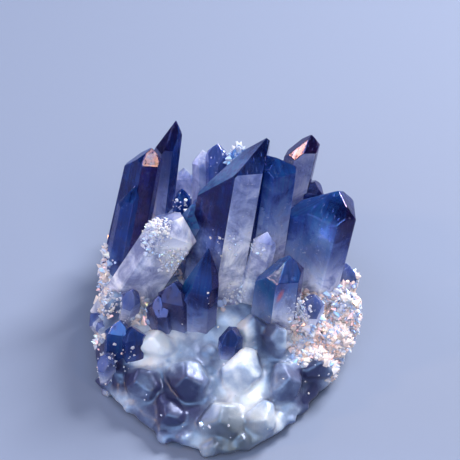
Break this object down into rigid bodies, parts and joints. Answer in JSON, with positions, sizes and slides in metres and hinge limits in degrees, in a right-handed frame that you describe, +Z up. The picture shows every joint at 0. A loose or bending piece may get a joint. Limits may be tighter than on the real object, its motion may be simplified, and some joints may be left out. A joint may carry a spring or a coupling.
{
  "type": "aura quartz crystal cluster",
  "caption": "Cluster of long six-sided quartz points on a lumpy bed of small crystals, cut flat underneath to rest on a shelf or table.",
  "frame": {"origin": "middle of the outer box in plan, on the flat cut underneath", "axes": "+Z up along the standing crystals, -Y towards the pointed low front of the bed, +X to the right seen from that front"},
  "size_m": [0.0533, 0.0703, 0.046],
  "materials": {
    "aura_quartz": "clear to milky quartz under a thin iridescent metal film, indigo and violet at the tips and lilac-white towards the bed"
  },
  "bodies": {
    "root": {"quartz_cluster": "aura_quartz"}
  },
  "joints": []
}
